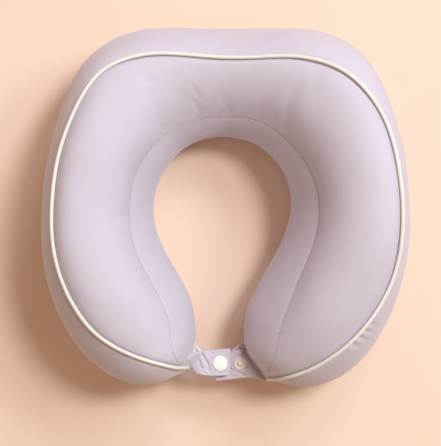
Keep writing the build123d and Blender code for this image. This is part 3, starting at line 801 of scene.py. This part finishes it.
def left_wrinkle(x, y, layer):
    w = 0.0
    for a, b, amp, wd in (((-20.9, -119.3), (-14.6, -131.0), -.95, 1.25), ((-18.4, -118.9), (-12.4, -129.0), .50, 1.3),
                          ((-24.6, -121.0), (-20.2, -132.5), -.75, 1.5), ((-22.6, -121.0), (-17.8, -132.0), .45, 1.4),
                          ((-28.8, -124.0), (-26.4, -134.0), .65, 1.5), ((-30.8, -126.5), (-29.0, -134.0), -.50, 1.3),
                          ((-17.0, -132.0), (-12.2, -137.0), -.45, 1.1), ((-13.8, -119.0), (-10.6, -121.5), -.35, 1.0),
                          ((-14.2, -136.9), (-8.0, -137.6), .25, 1.2)):
        w += amp * math.exp(-(seg_dist(x, y - HY, a, b) / wd) ** 2)
    w += .22 * noise.noise(Vector((x / 4.0, y / 4.0, 3.0 + layer)))
    near_cap = math.exp(-(max(0.0, math.hypot(x - SNAP[0], y - SNAP[1]) - 6.4) / 1.8) ** 2)
    return w * (1 - near_cap) * (1.0 if layer > 0 else .35)


SNAP = (-4.8, -129.0 + HY)
STUD2 = (12.1, -129.4 + HY)
lo = [(-37.5, -132.0 + HY), (-33.6, -135.0 + HY), (-29.7, -135.6 + HY), (-23.9, -137.7 + HY), (-17.2, -139.1 + HY), (-11.4, -139.5 + HY), (3.4, -139.0 + HY)]
hi = [(-31.5, -118.2 + HY), (-28.6, -119.0 + HY), (-25.6, -119.0 + HY), (-17.2, -118.4 + HY), (-6.5, -117.5 + HY), (4.1, -116.5 + HY)]


def mix(a, b, f):
    return a + (b - a) * float(sm(f))


XK = (-36.5, -32.2, -29.7, -27.2, -24.7, -22.2, -18.9, -14.8, 4.0)
TOPK = (72.5, 66.5, 61.0, 55.9, 52.0, 49.7, 48.2, 47.4, 47.12)
BOTK = (40.5, 41.4, 42.0, 42.8, 43.4, 43.9, 44.5, 44.8, 44.88)


def root_z(t):
    x = -36.5 + 40.5 * t
    return np.interp(x, XK, TOPK), np.interp(x, XK, BOTK)


left_cloth = strap("left_strap_cloth", lo, hi,
                   lambda t, b: sum(root_z(t)) / 2 - (1 - float(sm((t - .1) / .36))) * 12.0 * (1 - b),
                   lambda t: (root_z(t)[0] - root_z(t)[1]) / 2, lambda t: mix(2.0, 9.0, (t - .12) / .4), left_wrinkle, na=150, nb=72)


def right_wrinkle(x, y, layer):
    w = 0.0
    for a, b, amp, wd in (((3.9, -134.4), (15.5, -139.4), -1.35, .95), ((4.5, -136.6), (15.5, -141.4), .45, 1.3),
                          ((5.5, -132.8), (16.5, -137.2), .55, 1.4), ((14.5, -121.5), (20.5, -128.0), -.5, 1.3),
                          ((16.4, -120.4), (32.6, -142.0), -3.6, 1.9), ((11.2, -121.4), (25.4, -140.0), .8, 2.2)):
        w += amp * math.exp(-(seg_dist(x, y - HY, a, b) / wd) ** 2)
    w += .18 * noise.noise(Vector((x / 4.0, y / 4.0, 9.0 + layer)))
    keep = max(math.exp(-(max(0.0, math.hypot(x - STUD2[0], y - STUD2[1]) - 6.4) / 1.4) ** 2),
               math.exp(-(max(0.0, math.hypot(x - SNAP[0], y - SNAP[1]) - 6.4) / 1.4) ** 2))
    return w * (1 - keep) * (1.0 if layer > 0 else .3)


lo2 = [(37.5, -146.0 + HY), (33.5, -143.2 + HY), (27.0, -142.2 + HY), (17.0, -141.6 + HY), (8.0, -142.6 + HY), (-8.9, -144.6 + HY)]
hi2 = [(21.5, -118.6 + HY), (18.6, -119.9 + HY), (15.4, -118.6 + HY), (12.0, -118.1 + HY), (7.2, -119.2 + HY), (3.0, -121.0 + HY), (-8.4, -121.8 + HY)]
right_cloth = strap("right_strap_cloth", lo2, hi2,
                    lambda t, b: mix(40.0, 39.5, t / .3), lambda t: mix(1.9, 1.12, t / .3), lambda t: mix(4.0, 9.0, t / .3), right_wrinkle)


def fold_layer(name, corners, thick, nu=26, nv=22):
    """Small doubled-over layer: a bowed sheet between four corners, with real thickness and soft edges."""
    a, b, c, d = [np.asarray(p, float) for p in corners]
    V, F, uv = [], [], []
    for layer in (1, -1):
        for i in range(nu):
            u = i / (nu - 1)
            for j in range(nv):
                v = j / (nv - 1)
                p = (a * (1 - u) + b * u) * (1 - v) + (d * (1 - u) + c * u) * v
                bow = math.sin(math.pi * u) * math.sin(math.pi * v)
                e = min(u, 1 - u, v, 1 - v)
                h = thick / 2 * math.sqrt(max(0.0, 1 - (1 - min(1, e / .07)) ** 2))
                z = p[2] + .8 * bow + .25 * noise.noise(Vector((p[0] / 3.0, p[1] / 3.0, 1.0))) + layer * h
                V.append((p[0], p[1], z))
                uv.append((p[0] + layer * 50, p[1]))
    base = nu * nv
    for i in range(nu - 1):
        for j in range(nv - 1):
            q = [i * nv + j, i * nv + j + 1, (i + 1) * nv + j + 1, (i + 1) * nv + j]
            F.append(tuple(q))
            F.append(tuple(base + k for k in q[::-1]))
    ob = new_mesh(name, V, F)
    set_uv(ob, uv)
    bm = bmesh.new()
    bm.from_mesh(ob.data)
    bmesh.ops.remove_doubles(bm, verts=bm.verts, dist=2e-6)
    bmesh.ops.recalc_face_normals(bm, faces=bm.faces)
    bm.to_mesh(ob.data)
    bm.free()
    return ob


fold = fold_layer("right_strap_fold", ((4.2, -119.4 + HY, 36.6), (15.8, -110.4 + HY, 35.0), (21.5, -118.5 + HY, 34.0), (5.5, -124.5 + HY, 36.2)), 1.3)


def turned(name, profile, x, y, n=72, caps=True):
    """Solid of revolution from (r, z) points that start and end on the axis."""
    V, F = [], []
    prof = [p for p in profile]
    for r, z in prof:
        for j in range(n):
            a = 2 * math.pi * j / n
            V.append((x + r * math.cos(a), y + r * math.sin(a), z))
    m = len(prof)
    closed = not caps
    for i in range(m - (0 if closed else 1)):
        k = (i + 1) % m
        for j in range(n):
            jj = (j + 1) % n
            F.append((i * n + j, i * n + jj, k * n + jj, k * n + j))
    ob = new_mesh(name, V, F)
    bm = bmesh.new()
    bm.from_mesh(ob.data)
    bmesh.ops.remove_doubles(bm, verts=bm.verts, dist=1e-6)
    bmesh.ops.recalc_face_normals(bm, faces=bm.faces)
    bm.to_mesh(ob.data)
    bm.free()
    return ob


def arc_pts(cr, cz, r, a0, a1, n=8):
    return [(cr + r * math.cos(math.radians(a0 + (a1 - a0) * k / n)), cz + r * math.sin(math.radians(a0 + (a1 - a0) * k / n))) for k in range(n + 1)]


zt = 47.0
dome = [(6.2 * math.sin(a), zt + .62 + 1.15 * (math.cos(a) - math.cos(math.pi / 2))) for a in np.linspace(0.0, math.pi / 2 * .93, 14)]
cap_prof = [(0, 44.3), (.95, 44.3), (.95, zt - .02), (5.7, zt - .02)] + arc_pts(5.85, zt + .33, .35, -90, 20, 7) + dome[::-1]
cap_prof[-1] = (0, cap_prof[-1][1])
cap = turned("snap_cap_button", cap_prof, *SNAP)
sock = turned("snap_socket_ring", [(1.07, 44.98), (5.0, 44.98)] + arc_pts(5.0, 44.65, .33, 90, 0, 5) + [(5.33, 42.3)] + arc_pts(4.95, 42.1, .38, 0, -90, 5) +
              [(4.2, 41.74)] + arc_pts(3.5, 41.74, .45, 0, 180, 6)[1:-1] + [(2.9, 41.72), (2.5, 42.0), (2.5, 43.95), (1.07, 43.95)], *SNAP, caps=False)
z2 = 40.5


def stud(name, x, y):
    return turned(name, [(1.07, z2 + .02), (5.0, z2 + .02)] + arc_pts(5.0, z2 + .37, .35, -90, 60, 6) + [(4.75, z2 + .86), (4.35, z2 + .80), (3.9, z2 + .34), (3.1, z2 + .28)] +
                  [(2.35, z2 + .36), (1.95, z2 + .75), (1.85, z2 + 1.6)] + arc_pts(1.62, z2 + 2.45, .38, -20, 110, 6) + [(1.2, z2 + 2.75), (1.07, z2 + 2.5)], x, y, caps=False)


def under(name, x, y):
    zb = 38.5
    d = [(6.15 * math.sin(a), zb - .5 - 1.0 * math.cos(a)) for a in np.linspace(0.0, math.pi / 2 * .93, 12)]
    pr = [(0, z2 + 2.45), (.95, z2 + 2.45), (.95, zb + .02), (5.6, zb + .02)] + arc_pts(5.8, zb - .25, .35, 80, -30, 6) + d[::-1]
    pr[-1] = (0, pr[-1][1])
    return turned(name, pr, x, y)


stud_far, stud_near = stud("stud_far_ring", *SNAP), stud("stud_near_ring", *STUD2)
ucap_far, ucap_near = under("stud_far_cap", *SNAP), under("stud_near_cap", *STUD2)


# ------------------------------------------------------------------ what the cover holds: liner and foam
def inner(name, depth, step_u=6, step_r=3):
    ku = [i for i in range(0, NU, step_u) if .8 < us[i] < 34.1]
    V, F, uv = [], [], []
    n = len(range(0, NR, step_r))
    for i in ku:
        Pn = P[i, ::step_r]
        c = Pn.mean(0)
        for j, r in enumerate(range(0, NR, step_r)):
            V.append(P[i, r] - Nn[i, r] * depth)
            uv.append((run[i, r], across[i, r]))
    for i in range(len(ku) - 1):
        for j in range(n):
            k = (j + 1) % n
            F.append((i * n + j, i * n + k, (i + 1) * n + k, (i + 1) * n + j))
    F.append(tuple(range(n))[::-1])
    F.append(tuple((len(ku) - 1) * n + j for j in range(n)))
    ob = new_mesh(name, V, F)
    set_uv(ob, uv)
    out_normals(ob)
    return ob


liner = inner("core_liner_bag", 4.6)
foam = inner("foam_core_block", 5.4)


# ------------------------------------------------------------------ materials
def lin(r, g, b):
    f = lambda c: c / 12.92 if c <= .04045 else ((c + .055) / 1.055) ** 2.4
    return (f(r / 255), f(g / 255), f(b / 255), 1.0)


def mat_nodes(name):
    m = bpy.data.materials.new(name)
    m.use_nodes = True
    t = m.node_tree
    for n in list(t.nodes):
        t.nodes.remove(n)
    out = t.nodes.new("ShaderNodeOutputMaterial")
    b = t.nodes.new("ShaderNodeBsdfPrincipled")
    t.links.new(b.outputs[0], out.inputs[0])
    return m, t, b


def math_node(t, op, a, b=None, c=None):
    n = t.nodes.new("ShaderNodeMath")
    n.operation = op
    for i, v in enumerate((a, b, c)):
        if v is None:
            continue
        if isinstance(v, (int, float)):
            n.inputs[i].default_value = v
        else:
            t.links.new(v, n.inputs[i])
    return n.outputs[0]


def fabric(name, base, dark, wale=.95, course=.72, bump=.35, rough=.78, sheen=.35, tint=(1, 1, 1, 1), knit=True, mottled=.5):
    m, t, b = mat_nodes(name)
    uv = t.nodes.new("ShaderNodeUVMap")
    uv.uv_map = "cloth"
    sep = t.nodes.new("ShaderNodeSeparateXYZ")
    t.links.new(uv.outputs[0], sep.inputs[0])
    x, y = sep.outputs[0], sep.outputs[1]
    if knit:
        # legs of the knit loops: a column wave, and a chevron that slopes opposite ways in the two halves of a column
        fx = math_node(t, "MULTIPLY", x, 1.0 / wale)
        col = math_node(t, "PINGPONG", fx, .5)
        cy = math_node(t, "MULTIPLY", y, 1.0 / course)
        ch = math_node(t, "ADD", cy, math_node(t, "MULTIPLY", col, 1.1))
        s1 = math_node(t, "SINE", math_node(t, "MULTIPLY", ch, 2 * math.pi))
        groove = math_node(t, "SINE", math_node(t, "MULTIPLY", col, 2 * math.pi))
        h = math_node(t, "ADD", math_node(t, "MULTIPLY", s1, .5), math_node(t, "MULTIPLY", groove, .9))
    else:
        # plain weave: over-and-under threads
        sx = math_node(t, "SINE", math_node(t, "MULTIPLY", x, 2 * math.pi / wale))
        sy = math_node(t, "SINE", math_node(t, "MULTIPLY", y, 2 * math.pi / course))
        h = math_node(t, "MULTIPLY", sx, sy)
    geo = t.nodes.new("ShaderNodeTexCoord")
    big = t.nodes.new("ShaderNodeTexNoise")
    big.inputs["Scale"].default_value = 22.0
    big.inputs["Detail"].default_value = 4.0
    t.links.new(geo.outputs["Object"], big.inputs["Vector"])
    fine = t.nodes.new("ShaderNodeTexNoise")
    fine.inputs["Scale"].default_value = 900.0
    fine.inputs["Detail"].default_value = 3.0
    t.links.new(geo.outputs["Object"], fine.inputs["Vector"])
    f = math_node(t, "ADD", math_node(t, "MULTIPLY", big.outputs[0], mottled), math_node(t, "MULTIPLY", fine.outputs[0], .35))
    # the relief h also shifts the colour a little: raised yarn lighter, grooves and under-threads darker, a painted
    # shade at stitch scale
    f = math_node(t, "ADD", f, math_node(t, "MULTIPLY", h, .05))
    ramp = t.nodes.new("ShaderNodeValToRGB")
    ramp.color_ramp.elements[0].position = .18
    ramp.color_ramp.elements[0].color = dark
    ramp.color_ramp.elements[1].position = .72
    ramp.color_ramp.elements[1].color = base
    t.links.new(f, ramp.inputs[0])
    t.links.new(ramp.outputs[0], b.inputs["Base Color"])
    r = math_node(t, "ADD", math_node(t, "MULTIPLY", fine.outputs[0], .16), rough - .08)
    t.links.new(r, b.inputs["Roughness"])
    b.inputs["Sheen Weight"].default_value = sheen
    b.inputs["Sheen Roughness"].default_value = .45
    b.inputs["Sheen Tint"].default_value = tint
    b.inputs["Specular IOR Level"].default_value = .25
    hh = math_node(t, "ADD", math_node(t, "MULTIPLY", h, .5), math_node(t, "MULTIPLY", fine.outputs[0], .8))
    bp = t.nodes.new("ShaderNodeBump")
    bp.inputs["Strength"].default_value = bump
    bp.inputs["Distance"].default_value = .00012
    t.links.new(hh, bp.inputs["Height"])
    t.links.new(bp.outputs[0], b.inputs["Normal"])
    return m


def plastic(name, base, rough, bump=.05, scale=300.0, coat=.0, metal=0.0, trans=0.0, wear=.04):
    m, t, b = mat_nodes(name)
    co = t.nodes.new("ShaderNodeTexCoord")
    n = t.nodes.new("ShaderNodeTexNoise")
    n.inputs["Scale"].default_value = scale
    n.inputs["Detail"].default_value = 4.0
    t.links.new(co.outputs["Object"], n.inputs["Vector"])
    ramp = t.nodes.new("ShaderNodeValToRGB")
    ramp.color_ramp.elements[0].position = .3
    ramp.color_ramp.elements[0].color = tuple(c * (1 - wear) for c in base[:3]) + (1,)
    ramp.color_ramp.elements[1].position = .7
    ramp.color_ramp.elements[1].color = base
    t.links.new(n.outputs[0], ramp.inputs[0])
    t.links.new(ramp.outputs[0], b.inputs["Base Color"])
    t.links.new(math_node(t, "ADD", math_node(t, "MULTIPLY", n.outputs[0], .12), rough - .06), b.inputs["Roughness"])
    b.inputs["Coat Weight"].default_value = coat
    b.inputs["Coat Roughness"].default_value = .08
    b.inputs["Metallic"].default_value = metal
    b.inputs["Subsurface Weight"].default_value = trans
    b.inputs["Subsurface Radius"].default_value = (.002, .0018, .0014)
    bp = t.nodes.new("ShaderNodeBump")
    bp.inputs["Strength"].default_value = bump
    bp.inputs["Distance"].default_value = .0001
    t.links.new(n.outputs[0], bp.inputs["Height"])
    t.links.new(bp.outputs[0], b.inputs["Normal"])
    return m


LILAC, LILAC_D = (.640, .565, .640, 1), (.560, .490, .560, 1)
M_knit = fabric("knit_lilac", LILAC, LILAC_D, sheen=.30, tint=(1, .97, 1, 1))
M_strap = fabric("knit_lilac_strap", LILAC, LILAC_D, wale=.8, course=.62, sheen=.30, tint=(1, .97, 1, 1))
M_pipe = fabric("satin_piping", (.84, .80, .74, 1), (.74, .70, .63, 1), wale=.5, course=.5, bump=.25, rough=.5, sheen=.15, knit=False)
M_thread = fabric("thread_lilac", (.70, .64, .70, 1), (.60, .54, .60, 1), wale=.35, course=.35, bump=.3, rough=.6, sheen=.1, knit=False)
M_liner = fabric("tricot_white", (.82, .82, .83, 1), (.74, .74, .76, 1))
M_foam = plastic("foam_cream", (.84, .80, .70, 1), .9, bump=.6, scale=700.0)
M_tape = fabric("zip_tape_weave", (.50, .43, .50, 1), (.42, .36, .42, 1), wale=.55, course=.4, rough=.8, sheen=.1, knit=False)
M_teeth = plastic("nylon_teeth", (.50, .44, .51, 1), .42, bump=.08)
M_metal = plastic("enamelled_metal", (.55, .48, .56, 1), .34, bump=.04, coat=.5, metal=.25)
M_cap = plastic("resin_white", (.93, .91, .88, 1), .26, bump=.02, scale=120.0, coat=.6, trans=.12)
M_stud = plastic("resin_cream", (.80, .74, .66, 1), .34, bump=.03, scale=160.0, coat=.4, trans=.2)


def dress(ob, m, body=None, rep=()):
    ob.data.materials.clear()
    ob.data.materials.append(m)
    if rep:
        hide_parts(*rep)
    if body:
        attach(ob, body)


dress(top, M_knit, "pillow", ["top_panel"])
dress(neck, M_knit, "pillow", ["neck_panel"])
dress(side, M_knit, "pillow", ["side_panel"])
dress(bottom, M_knit, "pillow", ["bottom_panel"])
dress(tip_l, M_knit, "pillow")
dress(tip_r, M_knit, "pillow")
dress(pipe_up, M_pipe, "pillow", ["upper_piping_tape", "upper_piping_cord"])
dress(pipe_lo, M_pipe, "pillow", ["lower_piping_tape", "lower_piping_cord"])
dress(neck_thread, M_thread, "pillow", ["neck_seam_thread"])
dress(zip_stitch, M_thread, "pillow")
dress(liner, M_liner, "pillow", ["core_liner"])
dress(foam, M_foam, "pillow", ["foam_core"])
dress(cap, M_cap, "left_tab", ["snap_cap"])
dress(sock, M_cap, "left_tab", ["snap_socket"])
dress(stud_far, M_stud, "right_tab", ["stud_far"])
dress(stud_near, M_stud, "right_tab", ["stud_near"])
dress(ucap_far, M_cap, "right_tab", ["stud_cap_far"])
dress(ucap_near, M_cap, "right_tab", ["stud_cap_near"])
dress(left_cloth, M_strap, None, ["left_strap_tab"])
dress(right_cloth, M_strap, None, ["right_strap_tab"])
dress(fold, M_strap, None)
J = {j["name"]: j for j in frame["joints"]}


def blend_at(ob, joint):
    """Look up the strap's root joint and which side of it the strap lies on, then bake the strap's transform into its
    mesh; the strap is not bent.
    """
    j = J[joint]
    p, a = Vector(j["pos_m"]), Vector(j["axis"])
    away = Vector((a.y, -a.x, 0)).normalized()
    c = sum((v.co for v in ob.data.vertices), Vector()) / len(ob.data.vertices)
    if (c - p).dot(away) < 0:
        away = -away
    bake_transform(ob)


blend_at(left_cloth, "left_tab_lift")
blend_at(right_cloth, "right_tab_drop")
blend_at(fold, "right_tab_drop")

for n, m in (("zip_tape_upper", M_tape), ("zip_tape_lower", M_tape), ("zip_teeth_upper", M_teeth), ("zip_teeth_lower", M_teeth),
             ("zip_stops", M_metal), ("zip_slider", M_metal), ("zip_pull", M_metal)):
    o = frame["nodes"][n]
    if "cloth" not in [l.name for l in o.data.uv_layers]:
        lay = o.data.uv_layers.new(name="cloth")
        for lp, d in zip(o.data.loops, lay.data):
            co = o.data.vertices[lp.vertex_index].co / MM
            d.uv = (co.x, co.z)
    o.data.materials.clear()
    o.data.materials.append(m)

# ------------------------------------------------------------------ floor, light and camera
bm = bmesh.new()
bmesh.ops.create_grid(bm, x_segments=24, y_segments=24, size=15.0)
me = bpy.data.meshes.new("floor")
bm.to_mesh(me)
bm.free()
floor = bpy.data.objects.new("floor", me)
scene.collection.objects.link(floor)
m, t, b = mat_nodes("floor_paper")
co = t.nodes.new("ShaderNodeTexCoord")
nz = t.nodes.new("ShaderNodeTexNoise")
nz.inputs["Scale"].default_value = 3.0
t.links.new(co.outputs["Object"], nz.inputs["Vector"])
rp = t.nodes.new("ShaderNodeValToRGB")
rp.color_ramp.elements[0].color = (.84, .61, .485, 1)
rp.color_ramp.elements[1].color = (.88, .645, .515, 1)
t.links.new(nz.outputs[0], rp.inputs[0])
t.links.new(rp.outputs[0], b.inputs["Base Color"])
b.inputs["Roughness"].default_value = .9
b.inputs["Specular IOR Level"].default_value = .1
me.materials.append(m)


def area_light(name, loc, target, size, power, col):
    l = bpy.data.lights.new(name, "AREA")
    l.shape = "DISK"
    l.size = size
    l.energy = power
    l.color = col
    o = bpy.data.objects.new(name, l)
    o.location = loc
    o.rotation_euler = (Vector(target) - Vector(loc)).to_track_quat("-Z", "Y").to_euler()
    scene.collection.objects.link(o)
    return o


def key(name, az, el, rgb, power, size=.72, dist=3.0):
    a, e = math.radians(az), math.radians(el)
    top_c = max(rgb)
    area_light(name, (dist * math.cos(e) * math.cos(a), dist * math.cos(e) * math.sin(a), .03 + dist * math.sin(e)), (0, 0, .03),
               size, power * 3.5 * top_c, tuple(c / top_c for c in rgb))


key("key_low", 20, 45, (.22, .30, .30), 18.0)
key("key_mid", 45, 45, (.19, .28, .35), 18.0)
key("key_back", 70, 45, (.20, .21, .24), 18.0)
key("key_high", 35, 62, (.69, .72, .745), 18.0)
key("fill", 200, 50, (.11, .11, .10), 14.0, size=2.8)
w = bpy.data.worlds.new("studio")
w.use_nodes = True
bg = w.node_tree.nodes["Background"]
bg.inputs[0].default_value = (1.0, .71, .49, 1)
bg.inputs[1].default_value = .40
scene.world = w

cam = bpy.data.cameras.new("camera")
cam.sensor_width = 36.0
cam.lens = 1271.0 / 446.0 * 36.0
cam.clip_start, cam.clip_end = .05, 20.0
camera = bpy.data.objects.new("camera", cam)
camera.location = (-4.4 * MM, (-12.6 + HY) * MM, 1.1)
camera.rotation_euler = (0, 0, 0)
scene.collection.objects.link(camera)
scene.camera = camera

bpy.context.view_layer.update()
